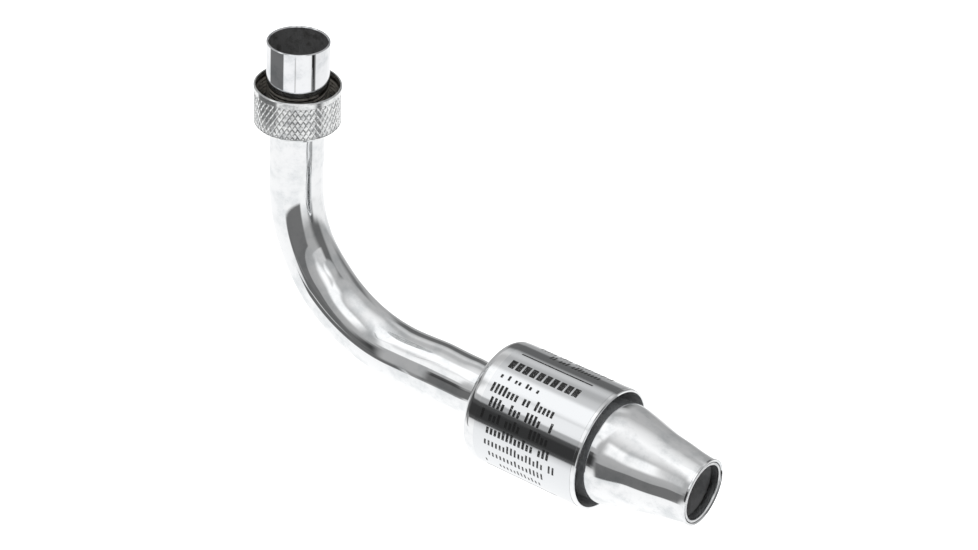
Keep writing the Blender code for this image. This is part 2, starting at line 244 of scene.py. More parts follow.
def turned(
    name: str, outline: Outline, sides: int = ROUND_SIDES, ends: Ends = Ends.JOINED
) -> bpy.types.Object:
    """Turn a round piece about the Z axis, ring by ring from a primitive circle.

    Args:
        name: The piece's name.
        outline: Its (radius, height) points in order, in millimetres.
        sides: The number of sides.
        ends: How the two ends of the outline are closed.

    Returns:
        The new object, about the origin.
    """
    deselect()
    radius, height = outline[0]
    bpy.ops.mesh.primitive_circle_add(vertices=sides, radius=radius * MM)
    piece = bpy.context.object
    piece.name = name
    stops = outline[1:] + (outline[:1] if ends is Ends.JOINED else [])
    with editing(piece):
        bpy.ops.mesh.select_all(action="SELECT")
        bpy.ops.transform.translate(value=(0.0, 0.0, height * MM))
        for next_radius, next_height in stops:
            extrude_ring((0.0, 0.0, next_height - height), next_radius / radius)
            radius, height = next_radius, next_height
        close_up()
        if ends is Ends.FILLED:
            bpy.ops.mesh.select_all(action="DESELECT")
            bpy.ops.mesh.select_non_manifold()
            bpy.ops.mesh.fill_holes(sides=0)
            close_up()
    return piece


@dataclass(frozen=True)
class PlainRing:
    """A plain ring with softened edges, turned about the Z axis.

    Attributes:
        name: Its name.
        inner: Its inner radius, in millimetres.
        outer: Its outer radius.
        bottom: The height of its lower face.
        top: The height of its upper face.
        edge: The width of its softened edges.
    """

    name: str
    inner: float
    outer: float
    bottom: float
    top: float
    edge: float

    def turn(self) -> bpy.types.Object:
        """Turn the ring.

        Returns:
            The new object, about the origin.
        """
        low, high = (self.inner, self.bottom), (self.outer, self.top)
        ring = turned(self.name, [high, (high[0], low[1]), low, (low[0], high[1])])
        soften_edges(ring, self.edge)
        return ring


# ---------------------------------------------------------------- finishes


def linear(hex_colour: str) -> tuple[float, float, float, float]:
    """Turn an sRGB hex colour to linear red, green, blue and alpha."""
    values = [int(hex_colour[i : i + 2], 16) / 255.0 for i in (0, 2, 4)]
    return (*(v / 12.92 if v <= 0.04045 else ((v + 0.055) / 1.055) ** 2.4 for v in values), 1.0)


def add_node(
    tree: bpy.types.NodeTree,
    kind: str,
    values: dict[int | str, object] | None = None,
    links: dict[int | str, Socket] | None = None,
    **options: object,
) -> bpy.types.Node:
    """Add a node with its options, socket values and incoming links.

    Args:
        tree: The node tree.
        kind: The node's type.
        values: Values for its input sockets.
        links: Output sockets that feed its input sockets.
        **options: The node's own properties.

    Returns:
        The new node.
    """
    node = tree.nodes.new(kind)
    for name, value in options.items():
        setattr(node, name, value)
    for key, value in (values or {}).items():
        node.inputs[key].default_value = value
    for key, socket in (links or {}).items():
        tree.links.new(socket, node.inputs[key])
    return node


def arithmetic(tree: bpy.types.NodeTree, operation: str, *terms: Socket | float) -> Socket:
    """Add one step of arithmetic.

    Args:
        tree: The node tree.
        operation: The step's kind.
        *terms: Its numbers and sockets, in order.

    Returns:
        The socket of its result.
    """
    values = {i: t for i, t in enumerate(terms) if isinstance(t, (int, float))}
    links = {i: t for i, t in enumerate(terms) if not isinstance(t, (int, float))}
    return add_node(tree, "ShaderNodeMath", values, links, operation=operation).outputs[0]


def blank_material(name: str) -> tuple[bpy.types.Material, bpy.types.NodeTree, bpy.types.Node]:
    """Make a material and give it, its node tree and its shader.

    Args:
        name: The material's name.

    Returns:
        The material, its node tree and its shader.
    """
    material = bpy.data.materials.new(name)
    material.use_nodes = True
    tree = material.node_tree
    return material, tree, tree.nodes["Principled BSDF"]


@dataclass(frozen=True)
class MetalFinish:
    """A metal surface with cloudy smudges, polishing lines and a slight waviness.

    The clouds change colour and roughness, the lines and waves change the normal.

    Attributes:
        name: Its name.
        colour: The clean metal's colour.
        cloud_colour: The colour in a smudge.
        roughness: The clean metal's roughness.
        cloud_roughness: The roughness in a smudge.
        grain: The way the polishing lines run.
        cloud_size: The size of the smudges, in millimetres.
        line_spacing: The distance between polishing lines.
        line_depth: The depth of the lines.
        wave_size: The size of the waves.
        wave_depth: The depth of the waves; 0 for none.
        metallic: How bare the metal is; less where scale or a dull flash covers it.
    """

    name: str
    colour: str
    cloud_colour: str
    roughness: float
    cloud_roughness: float
    grain: Grain = Grain.EVEN
    cloud_size: float = 9.0
    line_spacing: float = 0.5
    line_depth: float = 0.002
    wave_size: float = 14.0
    wave_depth: float = 0.0
    metallic: float = 1.0

    def make(self) -> bpy.types.Material:
        """Make the material.

        Returns:
            The new material.
        """
        material, tree, shader = blank_material(self.name)
        place = add_node(tree, "ShaderNodeTexCoord").outputs["Object"]
        cloud = add_node(
            tree, "ShaderNodeTexNoise",
            {"Scale": 1.0 / (self.cloud_size * MM), "Detail": 4.0, "Roughness": 0.6},
            {"Vector": place},
        ).outputs[0]
        smudge = add_node(
            tree, "ShaderNodeMapRange", {"From Min": 0.42, "From Max": 0.72}, {"Value": cloud},
            interpolation_type="SMOOTHSTEP",
        ).outputs[0]
        colour = add_node(
            tree, "ShaderNodeMix", {6: linear(self.colour), 7: linear(self.cloud_colour)},
            {0: smudge}, data_type="RGBA",
        ).outputs[2]
        rough = add_node(
            tree, "ShaderNodeMapRange", {"To Min": self.roughness, "To Max": self.cloud_roughness},
            {"Value": smudge},
        ).outputs[0]
        stretched = add_node(
            tree, "ShaderNodeMapping", {"Scale": self.grain.value}, {"Vector": place}
        ).outputs[0]
        lines = add_node(
            tree, "ShaderNodeTexNoise", {"Scale": 1.0 / (self.line_spacing * MM), "Detail": 2.0},
            {"Vector": stretched},
        ).outputs[0]
        bump = add_node(
            tree, "ShaderNodeBump", {"Strength": 1.0, "Distance": self.line_depth * MM},
            {"Height": lines},
        )
        if self.wave_depth:
            waves = add_node(
                tree, "ShaderNodeTexNoise", {"Scale": 1.0 / (self.wave_size * MM), "Detail": 0.0},
                {"Vector": place},
            ).outputs[0]
            bump = add_node(
                tree, "ShaderNodeBump", {"Strength": 1.0, "Distance": self.wave_depth * MM},
                {"Height": waves, "Normal": bump.outputs[0]},
            )
        shader.inputs["Metallic"].default_value = self.metallic
        tree.links.new(colour, shader.inputs["Base Color"])
        tree.links.new(rough, shader.inputs["Roughness"])
        tree.links.new(bump.outputs[0], shader.inputs["Normal"])
        return material


@dataclass(frozen=True)
class FibreFinish:
    """Pressed graphite fibre sheet: near black, matt, with short grey fibres.

    Attributes:
        name: Its name.
        dark: The colour between the fibres.
        fibre: The fibres' colour.
        fibre_length: The length of a fibre, in millimetres.
    """

    name: str = "graphite_fibre_sheet_pressed"
    dark: str = "17181A"
    fibre: str = "3C3D40"
    fibre_length: float = 0.5

    def make(self) -> bpy.types.Material:
        """Make the material.

        Returns:
            The new material.
        """
        material, tree, shader = blank_material(self.name)
        place = add_node(tree, "ShaderNodeTexCoord").outputs["Object"]
        fibres = add_node(
            tree, "ShaderNodeTexNoise",
            {"Scale": 1.0 / (self.fibre_length * MM), "Detail": 6.0, "Distortion": 1.5},
            {"Vector": place},
        ).outputs[0]
        colour = add_node(
            tree, "ShaderNodeMix", {6: linear(self.dark), 7: linear(self.fibre)}, {0: fibres},
            data_type="RGBA",
        ).outputs[2]
        bump = add_node(
            tree, "ShaderNodeBump", {"Strength": 1.0, "Distance": 0.05 * MM}, {"Height": fibres}
        ).outputs[0]
        shader.inputs["Roughness"].default_value = 0.85
        tree.links.new(colour, shader.inputs["Base Color"])
        tree.links.new(bump, shader.inputs["Normal"])
        return material


@dataclass(frozen=True)
class PrintRow:
    """One row of stand-in print, in blocks or as a solid line.

    Attributes:
        angle: Where it is round the barrel, in degrees up from the side that faces -Y.
        start: Where it starts along the barrel, in millimetres from the print's datum.
        end: Where it ends.
        height: The height of a tall block, in millimetres.
        block: The distance from one block to the next, in millimetres.
        words: How readily a block is left out as a space between words.
        ink: How much of that distance is inked.
    """

    angle: float
    start: float
    end: float
    height: float
    block: float
    words: float
    ink: float = 0.62


@dataclass(frozen=True)
class FoilFinish:
    """Clear-lacquered metal foil label with rows of small black blocks in place of words.

    Attributes:
        name: Its name.
        metal: The foil's colour.
        ink: The ink's colour.
        datum_x: Where the print's rows are measured from, in millimetres.
        axis_z: The height of the barrel's axis.
        radius: The radius at which the rows are laid out.
        short_half: Half the height of a short block, as a part of its row's height.
        tall_half: The same for a tall block.
        tall_above: A block is tall where its random number is above this.
        row_stride: How far apart the rows are in the run of random numbers.
        scramble: What makes a second random number out of a block's first one.
        space_share: What part of a row's words value is the share of blocks left out.
        speck_size: The size of the bare specks in the ink, in millimetres.
        speck_above: The ink is bare where the specks' noise is above this.
        rows: The rows, from the top one down.
    """

    name: str = "metallised_label_foil_printed"
    metal: str = "E4E6E8"
    ink: str = "0C0C0D"
    datum_x: float = 107.5
    axis_z: float = -96.4
    radius: float = 25.5
    short_half: float = 0.35
    tall_half: float = 0.5
    tall_above: float = 0.6
    row_stride: float = 37.0
    scramble: float = 7.31
    space_share: float = 0.72
    speck_size: float = 0.35
    speck_above: float = 0.66
    rows: tuple[PrintRow, ...] = (
        PrintRow(131.0, 10.5, 40.5, 3.4, 1.5, 0.2),
        PrintRow(118.5, 7.5, 43.5, 3.6, 1.5, 0.2),
        PrintRow(106.0, 16.5, 40.5, 3.6, 1.5, 0.2),
        PrintRow(91.0, 7.7, 41.4, 0.8, 50.0, 0.0, 2.0),
        PrintRow(75.0, 6.7, 40.2, 4.3, 3.35, 0.0, 0.76),
        PrintRow(60.0, 6.8, 25.5, 2.2, 1.7, 0.6),
        PrintRow(46.5, 5.7, 36.1, 4.0, 1.9, 0.22),
        PrintRow(34.0, 7.6, 38.0, 4.0, 1.9, 0.22),
        PrintRow(21.5, 5.7, 38.0, 4.0, 1.9, 0.22),
        PrintRow(9.5, 9.5, 39.9, 4.0, 1.9, 0.22),
        PrintRow(-3.0, 9.0, 43.2, 3.6, 1.8, 0.22, 0.5),
        PrintRow(-15.5, 9.0, 39.6, 3.4, 1.8, 0.22, 0.46),
        PrintRow(-28.0, 8.5, 35.7, 3.0, 1.7, 0.22, 0.42),
        PrintRow(-40.0, 7.7, 41.4, 0.8, 50.0, 0.0, 2.0),
    )

    def make(self) -> bpy.types.Material:
        """Make the material.

        Returns:
            The new material.
        """
        material, tree, shader = blank_material(self.name)
        sum_of = partial(arithmetic, tree)
        place = add_node(tree, "ShaderNodeTexCoord").outputs["Object"]
        split = add_node(tree, "ShaderNodeSeparateXYZ", links={0: place}).outputs
        along = sum_of("MULTIPLY_ADD", split[0], 1.0 / MM, -self.datum_x)
        rise = sum_of("SUBTRACT", split[2], self.axis_z * MM)
        front = sum_of("MULTIPLY", split[1], -1.0)
        round_by = sum_of("MULTIPLY", sum_of("ARCTAN2", rise, front), self.radius)
        ink_mask: Socket | None = None
        for number, row in enumerate(self.rows):
            drop = sum_of("SUBTRACT", round_by, math.radians(row.angle) * self.radius)
            cell = sum_of("DIVIDE", along, row.block)
            index = sum_of("FLOOR", cell)
            dice = add_node(
                tree, "ShaderNodeTexWhiteNoise",
                links={"W": sum_of("ADD", index, self.row_stride * number)}, noise_dimensions="1D",
            ).outputs
            level = sum_of("DIVIDE", drop, row.height)
            tall: Socket | float = self.tall_half
            if row.words:
                taller = sum_of("GREATER_THAN", dice[0], self.tall_above)
                extra = self.tall_half - self.short_half
                tall = sum_of("MULTIPLY_ADD", taller, extra, self.short_half)
                level = sum_of("SUBTRACT", level, sum_of("SUBTRACT", tall, self.short_half))
            inside = sum_of("LESS_THAN", sum_of("ABSOLUTE", level), tall)
            off_centre = sum_of("SUBTRACT", sum_of("SUBTRACT", cell, index), 0.5)
            block = sum_of("LESS_THAN", sum_of("ABSOLUTE", off_centre), row.ink / 2)
            gap = sum_of("FRACT", sum_of("MULTIPLY", dice[0], self.scramble))
            word = sum_of("GREATER_THAN", gap, row.words * self.space_share)
            length = sum_of(
                "LESS_THAN",
                sum_of("ABSOLUTE", sum_of("SUBTRACT", along, (row.start + row.end) / 2)),
                (row.end - row.start) / 2,
            )
            within = sum_of("MULTIPLY", word, length)
            mark = sum_of("MULTIPLY", sum_of("MULTIPLY", inside, block), within)
            ink_mask = mark if ink_mask is None else sum_of("MAXIMUM", ink_mask, mark)
        grime = add_node(
            tree, "ShaderNodeTexNoise", {"Scale": 1.0 / (self.speck_size * MM), "Detail": 2.0},
            {"Vector": place},
        ).outputs[0]
        ink_amount = sum_of("MULTIPLY", ink_mask, sum_of("LESS_THAN", grime, self.speck_above))
        colour = add_node(
            tree, "ShaderNodeMix", {6: linear(self.metal), 7: linear(self.ink)}, {0: ink_amount},
            data_type="RGBA",
        ).outputs[2]
        rough = add_node(
            tree, "ShaderNodeMapRange", {"To Min": 0.07, "To Max": 0.45}, {"Value": ink_amount}
        ).outputs[0]
        bump = add_node(
            tree, "ShaderNodeBump", {"Strength": 1.0, "Distance": 0.003 * MM}, {"Height": grime}
        ).outputs[0]
        tree.links.new(colour, shader.inputs["Base Color"])
        tree.links.new(rough, shader.inputs["Roughness"])
        tree.links.new(sum_of("SUBTRACT", 1.0, ink_amount), shader.inputs["Metallic"])
        tree.links.new(bump, shader.inputs["Normal"])
        return material


class Finishes:
    """All the finishes of the object, each made once."""

    def __init__(self) -> None:
        """Make every material."""
        # Nickel-chromium plate on buffed steel tube: a mirror with faint smudges and soft waves.
        self.tube_chrome = MetalFinish(
            "bright_chromium_plate_on_buffed_tube", "F1F2F3", "DCDFE1", 0.025, 0.07,
            wave_size=16.0, wave_depth=0.10, line_depth=0.0012,
        ).make()
        # The same plate on drawn pipe, with faint draw lines along it.
        self.pipe_chrome = MetalFinish(
            "bright_chromium_plate_on_drawn_pipe", "EFF0F2", "D8DBDE", 0.03, 0.09,
            line_depth=0.0015, wave_size=9.0, wave_depth=0.02,
        ).make()
        # Plated turned brass nut: the cut knurl holds a little polish and dirt, so it is rougher.
        self.nut_chrome = MetalFinish(
            "nickel_plate_on_knurled_brass", "EDEEEE", "D2D4D5", 0.16, 0.26, Grain.ALONG_Z,
            cloud_size=2.5, line_spacing=0.3, line_depth=0.002,
        ).make()
        # The nut's inside, cut after plating: brown-grey oxide and cutting oil, darker and duller.
        self.cut_thread = MetalFinish(
            "oxidised_brass_cut_thread", "76726B", "4A4743", 0.32, 0.45,
            cloud_size=2.0, line_spacing=0.3, line_depth=0.003,
        ).make()
        # Chromium plate over a rolled and buffed barrel: fine lines run round it.
        self.barrel_chrome = MetalFinish(
            "bright_chromium_plate_on_rolled_barrel", "F0F1F2", "DADDDF", 0.03, 0.07, Grain.ALONG_X,
            line_spacing=0.7, line_depth=0.006, wave_size=18.0, wave_depth=0.03,
        ).make()
        # Spun steel cone, plated: spinning lines round it and soft lumps from the tool.
        self.cone_chrome = MetalFinish(
            "bright_chromium_plate_on_spun_cone", "EFF0F1", "D6D9DB", 0.035, 0.09, Grain.ALONG_X,
            line_spacing=0.6, line_depth=0.002, wave_size=9.0, wave_depth=0.12,
        ).make()
        # Bare steel inside the tube: dull, with grey scale that plating never reached.
        self.bare_inside = MetalFinish(
            "bare_mild_steel_inside_tube", "8A8A8B", "626160", 0.45, 0.6, Grain.ALONG_Z,
            cloud_size=3.0, line_spacing=0.8, line_depth=0.012, metallic=0.55,
        ).make()
        # Zinc flash inside the barrel and the cone, never buffed: pale grey, dull and soft.
        self.dull_plate = MetalFinish(
            "zinc_flash_inside_steel_sheet", "B4B5B6", "97989A", 0.5, 0.62, Grain.ALONG_X,
            cloud_size=5.0, line_spacing=0.6, line_depth=0.006, metallic=0.3,
        ).make()
        # Polished stainless steel: bright with slightly open fine lines.
        self.polished_steel = MetalFinish(
            "polished_stainless_steel_turned", "D6D7D8", "B9BBBD", 0.10, 0.2, Grain.ALONG_X,
            cloud_size=3.0, line_spacing=0.3, line_depth=0.002,
        ).make()
        # Satin stainless steel sheet: brushed, grey and soft.
        self.satin_steel = MetalFinish(
            "satin_stainless_steel_brushed", "A9ABAD", "8C8E90", 0.28, 0.42, Grain.ALONG_X,
            cloud_size=4.0, line_spacing=0.3, line_depth=0.004,
        ).make()
        # Drawn stainless wire, woven: dull grey from handling.
        self.wire_steel = MetalFinish(
            "stainless_steel_wire_drawn", "8E9092", "6B6D6F", 0.35, 0.5,
            cloud_size=1.5, line_spacing=0.3, line_depth=0.002,
        ).make()
        # Turned brass: yellow, with brown tarnish clouds.
        self.brass = MetalFinish(
            "cartridge_brass_turned", "C9A55C", "8F6E38", 0.22, 0.4, Grain.ALONG_Z,
            cloud_size=3.0, line_spacing=0.3, line_depth=0.004,
        ).make()
        self.graphite = FibreFinish().make()
        self.foil = FoilFinish().make()


def dress(
    piece: bpy.types.Object,
    finishes: list[bpy.types.Material],
    body: Body,
    node: str,
) -> None:
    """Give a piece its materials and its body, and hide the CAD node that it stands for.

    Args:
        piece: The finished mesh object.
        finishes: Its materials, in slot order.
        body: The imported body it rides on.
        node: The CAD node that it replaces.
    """
    piece.data.materials.clear()
    for material in finishes:
        piece.data.materials.append(material)
    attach(piece, body.value)
    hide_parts(node)
    log.info("%s: %d faces, %s", piece.name, len(piece.data.polygons), finishes[0].name)


def finish_inside(piece: bpy.types.Object, test: Callable[[Vector, Vector], bool]) -> None:
    """Give a dressed piece's second material to the faces that pass a test.

    Args:
        piece: The dressed piece, in its place.
        test: Says whether a face with this centre, in metres, and normal is an inside one.
    """
    for polygon in piece.data.polygons:
        if test(polygon.center, polygon.normal):
            polygon.material_index = 1


# ---------------------------------------------------------------- mixing tube


@dataclass(frozen=True)
class Dent:
    """A soft hollow or hump in the bent tube.

    Attributes:
        along: Distance down the centre line from the origin, in millimetres.
        side: Angle round the tube in degrees: 0 outside the bend, 90 towards -Y, 180 inside it.
        length: Its half-length along the tube, in millimetres.
        width: Its half-width round the tube, in degrees.
        depth: Its depth in millimetres; negative for a hump.
    """

    along: float
    side: float
    length: float
    width: float
    depth: float


@dataclass(frozen=True)
class Swell:
    """A stretch of the tube that bending and brazing left a little fatter all round.

    Attributes:
        start: Where it starts along the centre line, in millimetres.
        full_from: Where it reaches its full height.
        full_to: Where it starts to fade.
        end: Where it ends.
        height: Its full height in millimetres.
    """

    start: float
    full_from: float
    full_to: float
    end: float
    height: float

    def at(self, along: float) -> float:
        """Give the swell's height in millimetres at a distance along the centre line.

        Args:
            along: The distance, in millimetres.

        Returns:
            The height there, in millimetres.
        """
        rise = min(max((along - self.start) / (self.full_from - self.start), 0.0), 1.0)
        fall = min(max((self.end - along) / (self.end - self.full_to), 0.0), 1.0)
        part = rise * fall
        return self.height * part * part * (3.0 - 2.0 * part)


@dataclass
class MixingTube:
    """The bent tube, from inside the spigot to inside the barrel."""

    radius: float = 11.11
    wall: float = 1.2
    top: float = 15.0
    bend_top: float = -37.4
    bend_radius: float = 59.0
    end_x: float = 130.0
    sides: int = 96
    upright_steps: int = 26
    bend_steps: int = 62
    lower_steps: int = 36
    dents: tuple[Dent, ...] = (
        Dent(44.0, 40.0, 5.0, 60.0, 0.12),
        Dent(66.0, 150.0, 9.0, 22.0, 0.30),
        Dent(80.0, 165.0, 6.0, 18.0, -0.18),
        Dent(92.0, 158.0, 8.0, 20.0, 0.30),
        Dent(106.0, 166.0, 6.0, 18.0, -0.16),
        Dent(117.0, 158.0, 8.0, 22.0, 0.25),
        Dent(16.0, 158.0, 5.0, 16.0, 0.10),
        Dent(27.0, 158.0, 4.0, 14.0, -0.06),
        Dent(132.0, 205.0, 5.0, 45.0, 0.15),
        Dent(147.0, 205.0, 7.0, 45.0, -0.38),
    )
    swell: Swell = Swell(62.0, 84.0, 162.0, 174.0, 0.75)

    @property
    def lower_z(self) -> float:
        """Give the height of the lower leg's axis."""
        return self.bend_top - self.bend_radius

    def locate(self, point: Vector) -> tuple[float, float, Vector]:
        """Find where a point of the wall lies on the tube.

        Args:
            point: A point on the tube's surface, in metres.

        Returns:
            Its distance along the centre line in millimetres, its angle round the tube in
            degrees, and the direction straight out of the wall there.
        """
        x, y, z = point / MM
        if z > self.bend_top:
            centre, along = Vector((0.0, 0.0, z)), -z
            outside = Vector((-1.0, 0.0, 0.0))
        elif x > self.bend_radius:
            centre = Vector((x, 0.0, self.lower_z))
            along = -self.bend_top + self.bend_radius * math.pi / 2 + x - self.bend_radius
            outside = Vector((0.0, 0.0, -1.0))
        else:
            turn = math.atan2(self.bend_top - z, self.bend_radius - x)
            outside = Vector((-math.cos(turn), 0.0, -math.sin(turn)))
            middle = Vector((self.bend_radius, 0.0, self.bend_top))
            centre = middle + outside * self.bend_radius
            along = -self.bend_top + self.bend_radius * turn
        out = (Vector((x, y, z)) - centre).normalized()
        side = math.degrees(math.atan2(-out.y, out.dot(outside)))
        return along, side, out

    def press_dents(self, tube: bpy.types.Object) -> None:
        """Press the dents and humps of bending into the tube's skin.

        Args:
            tube: The tube's outer skin.
        """
        for vertex in tube.data.vertices:
            along, side, out = self.locate(vertex.co)
            depth = -self.swell.at(along)
            for dent in self.dents:
                far = ((along - dent.along) / dent.length) ** 2
                turn = (side - dent.side + 180.0) % 360.0 - 180.0
                depth += dent.depth * math.exp(-far - (turn / dent.width) ** 2)
            vertex.co -= out * depth * MM

    def build(self, finishes: Finishes) -> None:
        """Build and dress the tube.

        Args:
            finishes: All the finishes.
        """
        deselect()
        bpy.ops.mesh.primitive_circle_add(vertices=self.sides, radius=self.radius * MM)
        tube = bpy.context.object
        tube.name = "mixing_tube_bent"
        drop = (self.bend_top - self.top) / self.upright_steps
        run = (self.end_x - self.bend_radius) / self.lower_steps
        with editing(tube):
            bpy.ops.mesh.select_all(action="SELECT")
            bpy.ops.transform.translate(value=(0.0, 0.0, self.top * MM))
            for _ in range(self.upright_steps):
                extrude_ring((0.0, 0.0, drop))
            bpy.ops.mesh.spin(
                steps=self.bend_steps,
                angle=math.pi / 2,
                center=(self.bend_radius * MM, 0.0, self.bend_top * MM),
                axis=(0.0, 1.0, 0.0),
            )
            for _ in range(self.lower_steps):
                extrude_ring((run, 0.0, 0.0))
            close_up()
        self.press_dents(tube)
        apply_modifier(
            tube, "SOLIDIFY", thickness=self.wall * MM, offset=-1.0, material_offset=1,
            material_offset_rim=1,
        )
        settle(tube)
        metals = [finishes.tube_chrome, finishes.bare_inside]
        dress(tube, metals, Body.TUBE, "mixing_tube")


# ---------------------------------------------------------------- spigot, seat and union nut


@dataclass
class SpigotAndSeat:
    """The burner spigot, with the flange and gasket that the burner sits on."""

    radius: float = 12.7
    bore: float = 11.75
    top: float = 28.4
    bottom: float = -1.5
    lap_top: float = 15.4
    bore_bottom: float = 16.2
    end_row: float = 6.0
    seam_angle: float = 128.0
    seam_height: float = 0.12
    seam_half_angle: float = 1.6
    flange: PlainRing = PlainRing("seat_flange_ring", TUBE_FIT, 15.9, -4.1, -1.8, 0.3)
    gasket: PlainRing = PlainRing("seat_gasket_ring", 13.0, 15.7, -1.5, 0.0, 0.25)

    def build(self, finishes: Finishes) -> None:
        """Build and dress the spigot, the flange and the gasket.

        Args:
            finishes: All the finishes.
        """
        outline = [
            (self.radius - 0.25, self.top),
            (self.radius, self.top - 0.3),
            (self.radius, self.top - self.end_row),
            (self.radius, self.bottom + self.end_row),
            (self.radius, self.bottom),
            (TUBE_FIT, self.bottom),
            (TUBE_FIT, self.lap_top),
            (self.bore, self.bore_bottom),
            (self.bore, self.top - 0.35),
            (self.bore + 0.3, self.top),
        ]
        spigot = turned("burner_spigot_pipe", outline)
        self.raise_seam(spigot)
        settle(spigot)
        metals = [finishes.pipe_chrome, finishes.bare_inside]
        dress(spigot, metals, Body.TUBE, "burner_spigot")
        finish_inside(spigot, self.faces_axis)
        flange, gasket = settle(self.flange.turn()), settle(self.gasket.turn())
        dress(flange, [finishes.satin_steel], Body.TUBE, "seat_flange")
        dress(gasket, [finishes.graphite], Body.TUBE, "seat_gasket")

    def faces_axis(self, centre: Vector, normal: Vector) -> bool:
        """Say whether a face looks at the upright axis."""
        return normal.dot(Vector((centre.x, centre.y, 0.0)).normalized()) < -0.9

    def raise_seam(self, spigot: bpy.types.Object) -> None:
        """Raise the weld seam that runs down inside the spigot.

        Args:
            spigot: The turned spigot.
        """
        for vertex in spigot.data.vertices:
            radius = math.hypot(vertex.co.x, vertex.co.y) / MM
            angle = math.degrees(math.atan2(vertex.co.y, vertex.co.x))
            if radius < self.bore + 0.1 and abs(angle - self.seam_angle) < self.seam_half_angle:
                vertex.co.x *= 1.0 - self.seam_height / radius
                vertex.co.y *= 1.0 - self.seam_height / radius


